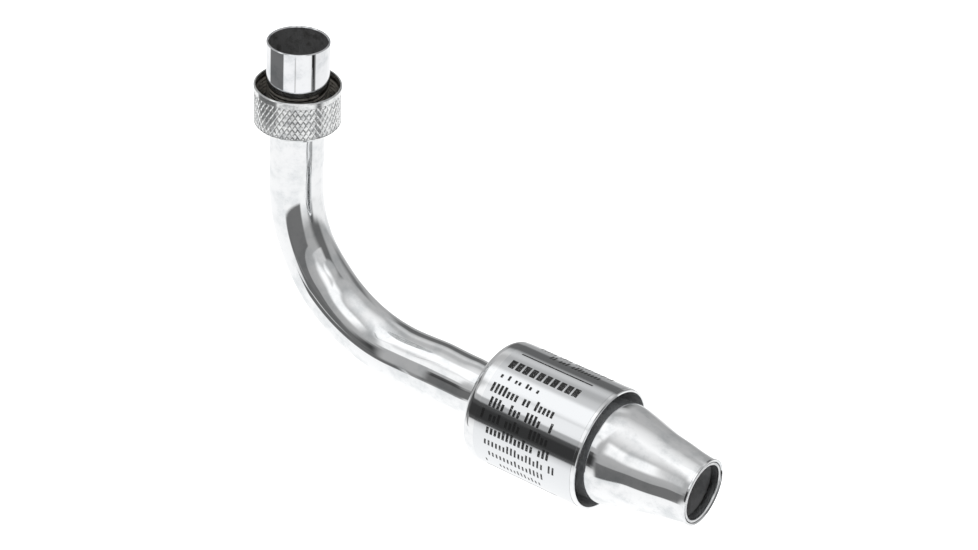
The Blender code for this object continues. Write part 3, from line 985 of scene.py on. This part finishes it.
@dataclass
class UnionNut:
    """The knurled cap nut, its inner thread, and the slip washer on its floor."""

    radius: float = 17.7
    top: float = 9.2
    bottom: float = -8.7
    floor_top: float = -5.7
    hole: float = 11.5
    thread_root: float = 16.85
    thread_pitch: float = 1.6
    thread_turns: int = 7
    thread_start: float = -4.9
    thread_steps: int = 80
    ridge_radius: float = 0.62
    ridge_cut: float = 0.45
    mouth: float = 16.9
    knurl_top: float = 6.75
    knurl_bottom: float = -7.25
    knurl_columns: int = 50
    knurl_rows: int = 4
    knurl_base: float = 17.3
    knurl_rise: float = 0.26
    knurl_flank: float = 0.34
    knurl_back: float = 0.2
    washer: PlainRing = PlainRing("slip_washer_ring", 11.5, 15.6, -5.4, -4.4, 0.15)

    def build(self, finishes: Finishes) -> None:
        """Build and dress the nut and its washer.

        Args:
            finishes: All the finishes.
        """
        nut = self.build_body()
        parts = (nut, self.build_knurl(), self.build_thread())
        deselect()
        for part in parts:
            part.select_set(True)
        bpy.context.view_layer.objects.active = nut
        bpy.ops.object.join()
        metals = [finishes.nut_chrome, finishes.cut_thread]
        dress(settle(nut), metals, Body.NUT, "union_nut")
        finish_inside(nut, self.is_cut)
        dress(settle(self.washer.turn()), [finishes.brass], Body.WASHER, "slip_washer")

    def is_cut(self, centre: Vector, normal: Vector) -> bool:
        """Say whether a face lies in the threaded bore, whichever way it looks."""
        radius = math.hypot(centre.x, centre.y) / MM
        return radius < self.thread_root + 0.02 and centre.z > (self.floor_top - 0.1) * MM

    def build_body(self) -> bpy.types.Object:
        """Turn the nut's body, waisted under the knurl.

        Returns:
            The new object.
        """
        outline = [
            (self.mouth + 0.15, self.top),
            (self.radius - 0.35, self.top),
            (self.radius, self.top - 0.4),
            (self.radius, self.knurl_top),
            (self.knurl_base - 0.05, self.knurl_top - 0.2),
            (self.knurl_base - 0.05, self.knurl_bottom + 0.1),
            (self.radius - 0.1, self.knurl_bottom),
            (self.radius - 1.4, self.bottom),
            (self.hole + 0.7, self.bottom),
            (self.hole, self.bottom + 0.7),
            (self.hole, self.floor_top),
            (self.thread_root, self.floor_top),
            (self.thread_root, self.top - 2.3),
            (self.mouth, self.top - 2.1),
            (self.mouth, self.top - 0.2),
        ]
        return turned("union_nut_knurled", outline, sides=self.knurl_columns * 2)

    def build_knurl(self) -> bpy.types.Object:
        """Cut the diamond knurl as a band of raised diamonds.

        Returns:
            The new object, a closed band.
        """
        row = (self.knurl_top - self.knurl_bottom) / self.knurl_rows
        levels = [(self.knurl_base, self.knurl_bottom + row * i) for i in range(self.knurl_rows + 1)]
        band = turned("knurl_band", levels, sides=self.knurl_columns, ends=Ends.OPEN)
        with editing(band):
            bpy.ops.mesh.select_mode(type="FACE")
            bpy.ops.mesh.select_all(action="SELECT")
            bpy.ops.mesh.poke()
            bpy.ops.mesh.select_mode(type="EDGE")
            self.pick_straight_edges(band)
            bpy.ops.mesh.dissolve_edges(use_verts=False)
        apply_modifier(band, "SOLIDIFY", thickness=self.knurl_back * MM, offset=-1.0)
        with editing(band):
            pick_faces(band, self.is_outer)
            bpy.ops.mesh.inset(
                thickness=self.knurl_flank * MM,
                depth=self.knurl_rise * MM,
                use_individual=True,
                use_even_offset=True,
            )
        return band

    def pick_straight_edges(self, band: bpy.types.Object) -> None:
        """Select the upright and level edges between two faces, which leaves the diagonals.

        Args:
            band: The knurl's band, in edit mode.
        """
        mesh = bmesh.from_edit_mesh(band.data)
        for edge in mesh.edges:
            run = edge.verts[1].co - edge.verts[0].co
            level = abs(run.z) < 0.01 * MM
            upright = math.hypot(run.x, run.y) < 0.01 * MM
            edge.select = (level or upright) and len(edge.link_faces) == 2
        mesh.select_flush_mode()
        bmesh.update_edit_mesh(band.data)

    def is_outer(self, centre: Vector, normal: Vector) -> bool:
        """Say whether a face lies on the knurl band's outer side."""
        out = Vector((centre.x, centre.y, 0.0)).normalized()
        return normal.dot(out) > 0.9 and math.hypot(centre.x, centre.y) > (self.knurl_base - 0.1) * MM

    def build_thread(self) -> bpy.types.Object:
        """Cut the thread as one helical ridge with filled ends.

        Returns:
            The new object.
        """
        deselect()
        bpy.ops.mesh.primitive_circle_add(vertices=4, radius=self.ridge_radius * MM)
        ridge = bpy.context.object
        ridge.name = "thread_ridge"
        ridge.rotation_euler = (math.pi / 2, 0.0, 0.0)
        ridge.location = (self.thread_root * MM, 0.0, self.thread_start * MM)
        bpy.ops.object.transform_apply(location=True, rotation=True, scale=True)
        with editing(ridge):
            pick_vertices(ridge, lambda place: place.x > (self.thread_root + 0.3) * MM)
            bpy.ops.transform.translate(value=(-self.ridge_cut * MM, 0.0, 0.0))
        apply_modifier(
            ridge, "SCREW", angle=math.tau, steps=self.thread_steps, render_steps=self.thread_steps,
            iterations=self.thread_turns, screw_offset=self.thread_pitch * MM,
        )
        with editing(ridge):
            bpy.ops.mesh.select_non_manifold()
            bpy.ops.mesh.edge_face_add()
            close_up()
        return ridge


# ---------------------------------------------------------------- air shield, label and inlet


@dataclass(frozen=True)
class RivetRing:
    """Two-headed domed rivets, set evenly round the lower axis.

    Attributes:
        family: The name that their CAD nodes share.
        grip: The thickness that they hold, in millimetres.
        radius: How far the middle of the grip is from the axis.
        station: Its distance from the barrel's rear plane.
        radial: Whether they point at the axis; otherwise they lie along it.
        count: How many there are.
        head: The radius of a head.
        shank: The radius of the shank.
        dome: The height of a head's dome over its edge.
        dome_angles: Where the dome's rings are, in degrees up from its edge.
    """

    family: str
    grip: float
    radius: float
    station: float
    radial: bool
    count: int = 3
    head: float = 1.8
    shank: float = 1.0
    dome: float = 0.8
    dome_angles: tuple[float, ...] = (86.0, 70.0, 52.0, 34.0, 16.0, 4.0)

    def blank(self, number: int) -> bpy.types.Object:
        """Turn one rivet about Z, centred on its grip.

        Args:
            number: Its number in the ring.

        Returns:
            The new object.
        """
        half = self.grip / 2 + 0.3
        angles = [math.radians(angle) for angle in self.dome_angles]
        dome = [(self.head * math.cos(a), half + self.dome * math.sin(a)) for a in angles]
        upper = [*dome, (self.head - 0.1, half), (self.shank, half)]
        lower = [(radius, -height) for radius, height in reversed(upper)]
        return turned(f"{self.family}_domed_{number}", upper + lower, sides=32, ends=Ends.FILLED)

    def set_in(self, place: "InletPlace", finish: bpy.types.Material) -> None:
        """Set the rivets in their places and dress them.

        Args:
            place: The lower axis's place.
            finish: The rivets' material.
        """
        for number in range(1, self.count + 1):
            angle = math.tau * (number - 0.5) / self.count
            spot = (self.radius * math.cos(angle), self.radius * math.sin(angle), self.station)
            turn = (0.0, 90.0, math.degrees(angle)) if self.radial else (0.0, 0.0, 0.0)
            rivet = settle(self.blank(number), spot, turn)
            place.fit(rivet, [finish], "polished_steel", f"{self.family}_{number}")


@dataclass
class InletPlace:
    """Where the barrel's rear plane is, and how the pieces on the lower axis are turned."""

    rear_x: float = 104.7
    axis_z: float = -96.4

    def fit(
        self, piece: bpy.types.Object, finishes: list[bpy.types.Material], slot: str, node: str
    ) -> None:
        """Lay a piece on the lower axis, and dress it as a part of the tube's body.

        Args:
            piece: The mesh object; its height becomes its distance from the rear plane.
            finishes: Its material, and a second one for the faces that look at the axis.
            slot: The record's material slot it belongs to; not used.
            node: The CAD node that it replaces.
        """
        settle(piece, (self.rear_x, 0.0, self.axis_z), (0.0, 90.0, 0.0))
        dress(piece, finishes, Body.TUBE, node)
        if len(finishes) > 1:
            finish_inside(piece, self.faces_axis)

    def faces_axis(self, centre: Vector, normal: Vector) -> bool:
        """Say whether a face looks at the lower axis."""
        spoke = Vector((0.0, centre.y, centre.z - self.axis_z * MM))
        return normal.dot(spoke.normalized()) < -0.8


@dataclass
class AirShield:
    """The barrel, its pressed cap, and the ferrule and rivets that hold the cap on the tube."""

    place: InletPlace
    length: float = 54.8
    radius: float = 25.4
    wall: float = 1.0
    corner: float = 4.0
    lip: float = 20.0
    cap_rear: float = 1.3
    cap_front: float = 9.0
    rows: int = 8
    ferrule_radius: float = 13.2
    ferrule_front: float = 12.6
    flange_radius: float = 18.0
    flange_front: float = 4.1
    flange_rear: float = 2.6
    rivets: RivetRing = RivetRing("cap_rivet", 2.8, 15.4, 2.7, radial=False)

    def build(self, finishes: Finishes) -> None:
        """Build and dress the barrel, the cap, the ferrule and the three rivets.

        Args:
            finishes: All the finishes.
        """
        barrel = turned("shield_barrel", self.barrel_outline())
        metals = [finishes.barrel_chrome, finishes.dull_plate]
        self.place.fit(barrel, metals, "chromed_shield", "shield_sleeve")
        cap = turned("shield_cap_pressed", self.cap_outline())
        self.place.fit(cap, [finishes.polished_steel], "polished_steel", "shield_cap")
        ferrule = turned("cap_ferrule_turned", self.ferrule_outline())
        soften_edges(ferrule, 0.25)
        self.place.fit(ferrule, [finishes.satin_steel], "satin_steel", "cap_ferrule")
        self.rivets.set_in(self.place, finishes.polished_steel)

    def corner_centre(self) -> tuple[float, float]:
        """Give the centre of the rear corner, as (radius, height)."""
        return self.radius - self.corner, self.corner

    def barrel_outline(self) -> Outline:
        """Give the barrel's outline, round its rear corner and back inside it.

        Returns:
            The points, from the front edge.
        """
        rows = [(self.radius, self.length * i / self.rows) for i in range(self.rows - 1, 0, -1)]
        return [
            (self.radius - 0.3, self.length),
            (self.radius, self.length - 0.3),
            *rows,
            *arc(self.corner_centre(), self.corner, 0.0, -90.0, 12),
            (self.lip, 0.0),
            (self.lip - 0.2, 0.5),
            (self.lip, self.wall),
            *arc(self.corner_centre(), self.corner - self.wall, -90.0, 0.0, 10),
            (self.radius - self.wall, self.length),
        ]

    def cap_outline(self) -> Outline:
        """Give the outline of the pressed cap, which nests in the barrel's corner.

        Returns:
            The points, from the rim's outer side.
        """
        inner = self.radius - self.wall
        outside = self.corner - self.wall - 0.3
        return [
            (inner - 0.3, self.cap_front),
            *arc(self.corner_centre(), outside, 0.0, -90.0, 10),
            (TUBE_FIT + 0.4, self.cap_rear),
            (TUBE_FIT, self.cap_rear + 0.4),
            (TUBE_FIT, self.cap_rear + 1.0),
            *arc(self.corner_centre(), outside - 1.0, -90.0, 0.0, 8),
            (inner - 1.3, self.cap_front),
        ]

    def ferrule_outline(self) -> Outline:
        """Give the outline of the flanged ferrule.

        Returns:
            The points, from the collar's front edge.
        """
        return [
            (self.ferrule_radius, self.ferrule_front),
            (self.ferrule_radius, self.flange_front),
            (self.flange_radius, self.flange_front),
            (self.flange_radius, self.flange_rear),
            (TUBE_FIT, self.flange_rear),
            (TUBE_FIT, self.ferrule_front),
        ]


@dataclass
class InstructionLabel:
    """The thin foil label, wrapped round the part of the barrel that faces the user."""

    place: InletPlace
    radius: float = 25.44
    thickness: float = 0.06
    rear: float = 6.8
    front: float = 53.1
    first_angle: float = 126.0
    last_angle: float = 324.0
    sides: int = 200
    rows: int = 6

    def covers(self, point: Vector) -> bool:
        """Say whether the label reaches round to a point."""
        angle = math.degrees(math.atan2(point.y, point.x)) % 360.0
        return self.first_angle - 0.1 <= angle <= self.last_angle + 0.1

    def build(self, finishes: Finishes) -> None:
        """Build and dress the label.

        Args:
            finishes: All the finishes.
        """
        step = (self.front - self.rear) / self.rows
        levels = [(self.radius, self.rear + step * i) for i in range(self.rows + 1)]
        foil = turned("instruction_label_foil", levels, sides=self.sides, ends=Ends.OPEN)
        with editing(foil):
            pick_vertices(foil, lambda point: not self.covers(point))
            bpy.ops.mesh.delete(type="VERT")
        apply_modifier(foil, "SOLIDIFY", thickness=self.thickness * MM, offset=1.0)
        self.place.fit(foil, [finishes.foil], "label_foil", "instruction_label")


@dataclass
class InletCone:
    """The spun inlet cone with its rolled tip, and the liner ring inside the tip."""

    place: InletPlace
    wall: float = 0.9
    skirt: float = 21.0
    skirt_rear: float = 36.3
    shoulder: float = 58.6
    taper_start: float = 62.8
    taper_end: float = 95.8
    tip: float = 98.35
    start_radius: float = 20.5
    end_radius: float = 13.8
    start_slope: float = -0.24
    end_slope: float = -0.12
    steps: int = 30
    skirt_rows: int = 12
    skirt_row: float = 2.0
    tip_roll: float = 0.5
    liner_inner: float = 11.5
    liner_outer: float = 12.6
    liner_rear: float = 4.15
    liner_front: float = 0.35
    lump_size: float = 12.0
    lump_height: float = 0.38
    rivets: RivetRing = RivetRing("cone_rivet", 2.2, 19.9, 41.3, radial=True)

    def radius_at(self, station: float) -> float:
        """Give the taper's outer radius at a distance from the barrel's rear plane.

        Args:
            station: The distance, in millimetres.

        Returns:
            The radius, in millimetres.
        """
        length = self.taper_end - self.taper_start
        t = (station - self.taper_start) / length
        return (
            (2.0 * t**3 - 3.0 * t**2 + 1.0) * self.start_radius
            + (t**3 - 2.0 * t**2 + t) * length * self.start_slope
            + (3.0 * t**2 - 2.0 * t**3) * self.end_radius
            + (t**3 - t**2) * length * self.end_slope
        )

    def outer_side(self) -> Outline:
        """Give the outer side from the skirt's rear edge to the start of the rolled tip.

        Returns:
            The points, in order.
        """
        run = self.taper_end - self.taper_start
        side = [(self.skirt, self.skirt_rear + self.skirt_row * i) for i in range(self.skirt_rows)]
        side += [(self.skirt, self.shoulder), (self.skirt - 0.12, self.shoulder + 2.1)]
        for i in range(self.steps + 1):
            station = self.taper_start + run * i / self.steps
            side.append((self.radius_at(station), station))
        return side

    def press_lumps(self, cone: bpy.types.Object) -> None:
        """Press the soft lumps that the spinning tool leaves into the taper.

        Args:
            cone: The turned cone, about the Z axis.
        """
        for vertex in cone.data.vertices:
            station = vertex.co.z / MM
            if station < self.shoulder or station > self.taper_end:
                continue
            fade = math.sin(math.pi * (station - self.shoulder) / (self.taper_end - self.shoulder))
            lump = noise.noise(vertex.co / (self.lump_size * MM)) * self.lump_height * fade * MM
            out = Vector((vertex.co.x, vertex.co.y, 0.0)).normalized()
            vertex.co += out * lump

    def rolled_rim(self) -> Outline:
        """Give the rolled tip, from the taper's end round to the inner side.

        Returns:
            The points, in order.
        """
        centre = (self.end_radius - 0.22, self.tip - self.tip_roll)
        return [
            (self.end_radius - 0.1, self.tip - 1.15),
            (self.end_radius + 0.15, self.tip - 0.95),
            *arc(centre, self.tip_roll, 35.0, 120.0, 5),
            (self.end_radius - self.wall, self.tip - 0.35),
        ]

    def build(self, finishes: Finishes) -> None:
        """Build and dress the cone, its three rivets and the liner.

        Args:
            finishes: All the finishes.
        """
        outer = self.outer_side()
        inner = [(radius - self.wall, station) for radius, station in reversed(outer)]
        cone = turned("inlet_cone_spun", outer + self.rolled_rim() + inner)
        self.press_lumps(cone)
        metals = [finishes.cone_chrome, finishes.dull_plate]
        self.place.fit(cone, metals, "spun_chrome", "inlet_cone")
        ends = (self.tip - self.liner_rear, self.tip - self.liner_front)
        liner = PlainRing("socket_liner_ring", self.liner_inner, self.liner_outer, *ends, 0.25)
        self.place.fit(liner.turn(), [finishes.polished_steel], "polished_steel", "socket_liner")
        self.rivets.set_in(self.place, finishes.polished_steel)


@dataclass
class AirInlet:
    """The tube's bell-mouthed end ring, the ported cage, and the wire gauze with its bands."""

    place: InletPlace
    tube_end: float = 25.3
    gauze_radius: float = 20.3
    gauze_rear: float = 23.3
    gauze_front: float = 36.0
    gauze_columns: int = 130
    gauze_rows: int = 13
    wire: float = 0.3
    bore: float = 9.91
    mouth_radius: float = 14.1
    mouth_rear: float = 8.5
    bell_start: float = 0.3
    bell_radius: float = 3.0
    band_inner: float = 20.8
    band_outer: float = 21.4
    band_width: float = 2.0

    def build(self, finishes: Finishes) -> None:
        """Build and dress the mouth ring, the gauze and its bands, and dress the cage.

        Args:
            finishes: All the finishes.
        """
        rear, bell = self.tube_end - self.mouth_rear, self.tube_end + self.bell_start
        ring = turned(
            "tube_mouth_ring_belled",
            [
                (self.mouth_radius, self.tube_end + self.bell_radius),
                (self.mouth_radius, rear),
                (TUBE_FIT, rear),
                (TUBE_FIT, bell),
                *arc((self.bore + self.bell_radius, bell), self.bell_radius, 180.0, 90.0, 8),
            ],
        )
        self.place.fit(ring, [finishes.brass], "brass", "tube_mouth_ring")
        step = (self.gauze_front - self.gauze_rear) / self.gauze_rows
        levels = [(self.gauze_radius, self.gauze_rear + step * i) for i in range(self.gauze_rows + 1)]
        gauze = turned("insect_screen_gauze", levels, sides=self.gauze_columns, ends=Ends.OPEN)
        apply_modifier(gauze, "WIREFRAME", thickness=self.wire * MM, use_boundary=True)
        self.place.fit(gauze, [finishes.wire_steel], "wire_steel", "insect_screen")
        for name, start in (("rear", self.gauze_rear), ("front", self.gauze_front - self.band_width)):
            ends = (start, start + self.band_width)
            band = PlainRing(
                f"screen_band_{name}_strap", self.band_inner, self.band_outer, *ends, 0.15
            )
            self.place.fit(
                band.turn(), [finishes.polished_steel], "polished_steel", f"screen_band_{name}"
            )
        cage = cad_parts["air_port_cage"]
        for cage_slot in cage.material_slots:
            cage_slot.material = finishes.satin_steel


# ---------------------------------------------------------------- studio


@dataclass(frozen=True)
class Card:
    """A soft-edged card of one tone in the surround that the plating mirrors.

    Attributes:
        turn: The middle of the card in degrees, from -Y round towards +X.
        height: Its middle in degrees above the horizon.
        half_turn: Half its width in degrees.
        half_height: Half its height in degrees.
        soft_turn: The width in degrees over which its sides fade.
        soft_height: The same for its top and bottom.
        tone: Its brightness as an sRGB grey from 0 to 255.
    """

    turn: float
    height: float
    half_turn: float
    half_height: float
    soft_turn: float
    soft_height: float
    tone: float


@dataclass(frozen=True)
class Flag:
    """A small upright flag near the object, which only the plating's mirror images show.

    Attributes:
        name: Its name.
        place: Its middle, in millimetres.
        size: Its width and height, in millimetres.
        turn: The way it faces back from, in degrees from -Y round towards +X.
        soft: The width in millimetres over which its edges fade.
        tone: Its brightness as an sRGB grey from 0 to 255.
    """

    name: str
    place: tuple[float, float, float]
    size: tuple[float, float]
    turn: float
    soft: float
    tone: float


def grey(tone: float) -> float:
    """Give the linear value of an sRGB grey from 0 to 255."""
    return linear(f"{round(tone):02X}" * 3)[0]


@dataclass
class Studio:
    """A white sweep to stand over, a surround of grey cards and flags, and the camera."""

    floor_z: float = -300.0
    floor_size: float = 6000.0
    camera_place: tuple[float, float, float] = (605.26, -749.22, 541.31)
    camera_turn: tuple[float, float, float] = (57.20, -2.90, 36.00)
    lens: float = 101.16
    gain: float = 1.22
    bands: tuple[tuple[float, float], ...] = (
        (-90.0, 251.0), (-33.0, 240.0), (-25.0, 236.0), (-18.0, 215.0), (-8.0, 158.0),
        (10.0, 160.0), (22.0, 168.0), (36.0, 170.0), (52.0, 175.0), (70.0, 220.0), (90.0, 245.0),
    )
    cards: tuple[Card, ...] = (
        Card(-45.0, 3.0, 26.0, 16.0, 16.0, 3.0, 74.0),
        Card(-30.0, 2.5, 14.0, 10.0, 18.0, 5.0, 52.0),
        Card(-57.0, 66.0, 36.0, 18.0, 20.0, 14.0, 252.0),
        Card(-34.0, 37.5, 9.0, 10.0, 12.0, 3.0, 240.0),
        Card(34.0, 40.0, 38.0, 13.0, 20.0, 10.0, 250.0),
        Card(104.0, 5.0, 20.0, 32.0, 18.0, 6.0, 98.0),
        Card(97.0, -36.0, 8.0, 14.0, 4.0, 4.0, 26.0),
        Card(163.0, 15.0, 19.0, 13.0, 16.0, 12.0, 112.0),
        Card(-149.0, 16.0, 10.0, 12.0, 10.0, 8.0, 98.0),
        Card(143.0, 12.0, 18.0, 25.0, 20.0, 7.0, 163.0),
        Card(20.0, -11.5, 34.0, 15.5, 8.0, 3.0, 106.0),
        Card(-143.0, 40.0, 18.0, 6.0, 20.0, 12.0, 200.0),
        Card(-136.0, 52.5, 30.0, 4.5, 10.0, 7.0, 174.0),
        Card(71.0, 28.0, 18.0, 10.0, 14.0, 3.0, 197.0),
        Card(136.0, -20.5, 33.0, 9.0, 15.0, 12.0, 228.0),
    )
    flags: tuple[Flag, ...] = (
        Flag("flag_for_spigot", (-39.0, -46.0, -12.0), (74.0, 44.0), -40.0, 4.0, 106.0),
        Flag("flag_for_spigot_line", (30.0, -52.0, -16.0), (7.0, 40.0), 30.0, 5.0, 140.0),
        Flag("flag_for_bend", (-4.0, -80.0, -119.0), (64.0, 30.0), 0.0, 6.0, 98.0),
        Flag("flag_for_bend_edge", (3.0, -80.0, -95.0), (38.0, 24.0), 0.0, 6.0, 98.0),
        Flag("flag_for_lower_leg", (49.0, -80.0, -117.0), (50.0, 34.0), 0.0, 6.0, 132.0),
        Flag("flag_for_leg_middle", (55.0, -30.0, -88.0), (28.0, 26.0), 0.0, 5.0, 162.0),
        Flag("flag_for_leg_end", (78.0, -31.0, -95.0), (34.0, 18.0), 0.0, 4.0, 100.0),
    )

    def floor(self) -> None:
        """Lay the plain pale floor, a backlit white sheet that leaves no shadow."""
        deselect()
        bpy.ops.mesh.primitive_plane_add(size=self.floor_size * MM, location=(0, 0, self.floor_z * MM))
        sheet = bpy.context.object
        sheet.name = "studio_floor"
        material, tree, shader = blank_material("opal_acrylic_sheet_backlit")
        shader.inputs["Base Color"].default_value = linear("FAFAFA")
        shader.inputs["Roughness"].default_value = 0.6
        shader.inputs["Emission Color"].default_value = linear("FFFFFF")
        shader.inputs["Emission Strength"].default_value = 1.0
        sheet.data.materials.append(material)
        sheet.visible_glossy = False

    def hang_flags(self) -> None:
        """Hang the small flags near the object."""
        for flag in self.flags:
            deselect()
            bpy.ops.mesh.primitive_plane_add(size=1.0)
            card = bpy.context.object
            card.name = flag.name
            card.scale = (flag.size[0] * MM, flag.size[1] * MM, 1.0)
            card.rotation_euler = Euler((math.pi / 2, 0.0, math.radians(flag.turn)))
            card.location = Vector(flag.place) * MM
            bpy.ops.object.transform_apply(location=True, rotation=True, scale=True)
            material, tree, shader = blank_material(f"grey_flag_card_{flag.name}")
            shader.inputs["Base Color"].default_value = linear("000000")
            shader.inputs["Roughness"].default_value = 1.0
            shader.inputs["Specular IOR Level"].default_value = 0.0
            shader.inputs["Emission Color"].default_value = (*(grey(flag.tone),) * 3, 1.0)
            shader.inputs["Emission Strength"].default_value = self.gain
            tree.links.new(self.feather(tree, flag), shader.inputs["Alpha"])
            card.data.materials.append(material)
            for ray in ("camera", "diffuse", "shadow", "transmission", "volume_scatter"):
                setattr(card, f"visible_{ray}", False)

    def feather(self, tree: bpy.types.NodeTree, flag: Flag) -> Socket:
        """Fade a flag's edges, so that its mirror image has none.

        Args:
            tree: The node tree of the flag's material.
            flag: The flag.

        Returns:
            The flag's cover: 1 inside, 0 at its edges.
        """
        sheet = add_node(tree, "ShaderNodeTexCoord").outputs["UV"]
        split = add_node(tree, "ShaderNodeSeparateXYZ", links={0: sheet}).outputs
        covers = []
        for socket, size in zip(split[:2], flag.size):
            cover = add_node(
                tree, "ShaderNodeMapRange", {"From Min": 0.5, "From Max": 0.5 - flag.soft / size},
                {"Value": arithmetic(tree, "ABSOLUTE", arithmetic(tree, "SUBTRACT", socket, 0.5))},
                interpolation_type="SMOOTHSTEP",
            )
            covers.append(cover.outputs[0])
        return arithmetic(tree, "MULTIPLY", *covers)

    def surround(self) -> None:
        """Draw the surround: grey bands by height, then the cards over them."""
        world = bpy.data.worlds.new("studio_surround")
        bpy.context.scene.world = world
        world.use_nodes = True
        tree = world.node_tree
        back = tree.nodes["Background"]
        sum_of = partial(arithmetic, tree)

        def fade(value: Socket, middle: float, half: float, soft: float) -> Socket:
            """Give 1 within half of the middle, and 0 past its soft edge.

            Args:
                value: The angle, in degrees.
                middle: The middle of the stretch.
                half: Half its length.
                soft: The width of its soft edge.

            Returns:
                The socket of the result.
            """
            far = sum_of("ABSOLUTE", sum_of("WRAP", sum_of("SUBTRACT", value, middle), 180.0, -180.0))
            return add_node(
                tree, "ShaderNodeMapRange",
                {"From Min": half + soft / 2, "From Max": half - soft / 2}, {"Value": far},
                interpolation_type="SMOOTHSTEP",
            ).outputs[0]

        way = add_node(tree, "ShaderNodeTexCoord").outputs["Generated"]
        split = add_node(tree, "ShaderNodeSeparateXYZ", links={0: way}).outputs
        radians_turn = sum_of("ARCTAN2", split[0], sum_of("MULTIPLY", split[1], -1.0))
        turn = sum_of("MULTIPLY", radians_turn, math.degrees(1.0))
        height = sum_of("MULTIPLY", sum_of("ARCSINE", split[2]), math.degrees(1.0))
        ramp = add_node(
            tree, "ShaderNodeValToRGB", links={0: sum_of("MULTIPLY_ADD", height, 1.0 / 180.0, 0.5)}
        )
        stops = ramp.color_ramp.elements
        while len(stops) < len(self.bands):
            stops.new(0.5)
        for stop, (angle, tone) in zip(stops, self.bands):
            stop.position = (angle + 90.0) / 180.0
            stop.color = (grey(tone), grey(tone), grey(tone), 1.0)
        light = ramp.outputs[0]
        for card in self.cards:
            across = fade(turn, card.turn, card.half_turn, card.soft_turn)
            up = fade(height, card.height, card.half_height, card.soft_height)
            light = add_node(
                tree, "ShaderNodeMix", {3: grey(card.tone)},
                {0: sum_of("MULTIPLY", across, up), 2: light},
            ).outputs[0]
        seen = add_node(tree, "ShaderNodeLightPath").outputs["Is Camera Ray"]
        shown = add_node(tree, "ShaderNodeMix", {3: 1.0}, {0: seen, 2: light}).outputs[0]
        tree.links.new(shown, back.inputs["Color"])
        back.inputs["Strength"].default_value = self.gain

    def camera(self) -> None:
        """Set up the camera."""
        camera_data = bpy.data.cameras.new("studio_camera")
        camera = bpy.data.objects.new("studio_camera", camera_data)
        bpy.context.scene.collection.objects.link(camera)
        camera_data.lens = self.lens
        camera_data.sensor_width = 36.0
        camera.location = Vector(self.camera_place) * MM
        camera.rotation_euler = Euler([math.radians(angle) for angle in self.camera_turn])
        bpy.context.scene.camera = camera

    def build(self) -> None:
        """Set up the whole studio."""
        self.floor()
        self.hang_flags()
        self.surround()
        self.camera()
        bpy.context.scene.view_settings.view_transform = "Standard"


def main() -> None:
    """Build the looks in order, from the spigot down to the cone."""
    finishes = Finishes()
    place = InletPlace()
    MixingTube().build(finishes)
    SpigotAndSeat().build(finishes)
    UnionNut().build(finishes)
    AirShield(place).build(finishes)
    InstructionLabel(place).build(finishes)
    InletCone(place).build(finishes)
    AirInlet(place).build(finishes)
    Studio().build()


if __name__ == "__main__":
    main()
